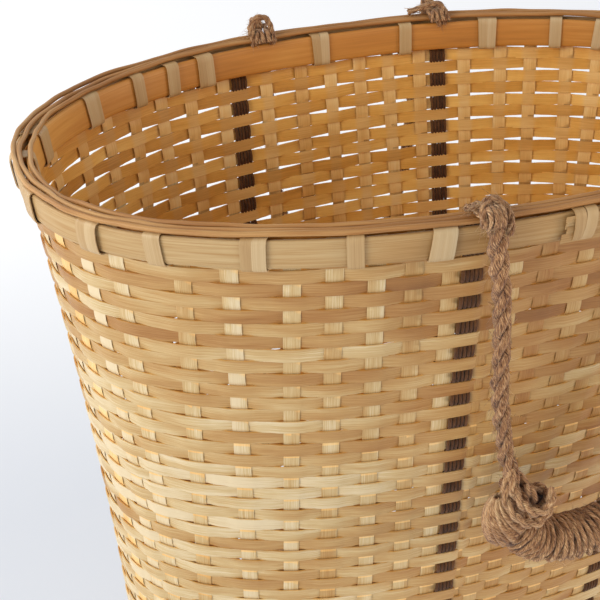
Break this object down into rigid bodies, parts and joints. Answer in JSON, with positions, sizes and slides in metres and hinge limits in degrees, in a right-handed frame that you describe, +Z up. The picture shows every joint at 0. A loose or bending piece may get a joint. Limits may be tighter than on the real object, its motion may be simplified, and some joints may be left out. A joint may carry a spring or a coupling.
{
  "type": "bamboo basket",
  "caption": "Tapered oval basket of plain woven bamboo strips with a lashed hoop rim and swinging jute rope handles on its long sides.",
  "frame": {"origin": "on the floor, under the middle of the basket's outline seen from above", "axes": "+X along the long axis of the oval mouth, +Y towards the back handle, +Z up"},
  "size_m": [0.4818, 0.3222, 0.3854],
  "materials": {
    "woven_bamboo": "matt split bamboo",
    "hoop_bamboo": "satin bamboo skin",
    "inner_hoop_bamboo": "satin aged bamboo",
    "rod_bamboo": "satin bamboo skin",
    "lashing_bamboo": "satin split bamboo",
    "jute_cord": "rough twisted jute, brown",
    "jute_rope": "rough twisted jute, natural"
  },
  "bodies": {
    "basket": {"wall_weave": "woven_bamboo", "base_mat": "woven_bamboo", "outer_rim_hoop": "hoop_bamboo", "inner_rim_hoop": "inner_hoop_bamboo", "rim_rod_outer": "rod_bamboo", "rim_rod_middle": "rod_bamboo", "rim_rod_inner": "rod_bamboo", "wall_strap_front_left": "jute_cord", "wall_strap_front_right": "jute_cord", "wall_strap_back_left": "jute_cord", "wall_strap_back_right": "jute_cord", "rope_eye_front_left": "jute_rope", "rope_eye_front_right": "jute_rope", "rope_eye_back_left": "jute_rope", "rope_eye_back_right": "jute_rope", "rim_lashing_01": "lashing_bamboo", "rim_lashing_02": "lashing_bamboo", "rim_lashing_03": "lashing_bamboo", "rim_lashing_04": "lashing_bamboo", "rim_lashing_05": "lashing_bamboo", "rim_lashing_06": "lashing_bamboo", "rim_lashing_07": "lashing_bamboo", "rim_lashing_08": "lashing_bamboo", "rim_lashing_09": "lashing_bamboo", "rim_lashing_10": "lashing_bamboo", "rim_lashing_11": "lashing_bamboo", "rim_lashing_12": "lashing_bamboo", "rim_lashing_13": "lashing_bamboo", "rim_lashing_14": "lashing_bamboo", "rim_lashing_15": "lashing_bamboo", "rim_lashing_16": "lashing_bamboo", "rim_lashing_17": "lashing_bamboo", "rim_lashing_18": "lashing_bamboo", "rim_lashing_19": "lashing_bamboo", "rim_lashing_20": "lashing_bamboo", "rim_lashing_21": "lashing_bamboo", "rim_lashing_22": "lashing_bamboo", "rim_lashing_23": "lashing_bamboo", "rim_lashing_24": "lashing_bamboo", "rim_lashing_25": "lashing_bamboo", "rim_lashing_26": "lashing_bamboo"},
    "front_handle": {"front_rope_left": "jute_rope", "front_rope_right": "jute_rope", "front_grip_core": "jute_rope", "front_grip_winding": "jute_rope", "front_grip_cap_left": "jute_rope", "front_grip_cap_right": "jute_rope", "front_grip_hitch_left": "jute_rope", "front_grip_hitch_right": "jute_rope"},
    "back_handle": {"back_rope_left": "jute_rope", "back_rope_right": "jute_rope", "back_grip_core": "jute_rope", "back_grip_winding": "jute_rope", "back_grip_cap_left": "jute_rope", "back_grip_cap_right": "jute_rope", "back_grip_hitch_left": "jute_rope", "back_grip_hitch_right": "jute_rope"}
  },
  "joints": [
    {"name": "front_handle_swing", "type": "hinge", "parent": "basket", "child": "front_handle", "pos_m": [0, -0.14877, 0.37895], "axis": [-1, 0, 0], "range_deg": [0, 180]},
    {"name": "back_handle_swing", "type": "hinge", "parent": "basket", "child": "back_handle", "pos_m": [0, 0.14877, 0.37895], "axis": [1, 0, 0], "range_deg": [0, 180]}
  ]
}
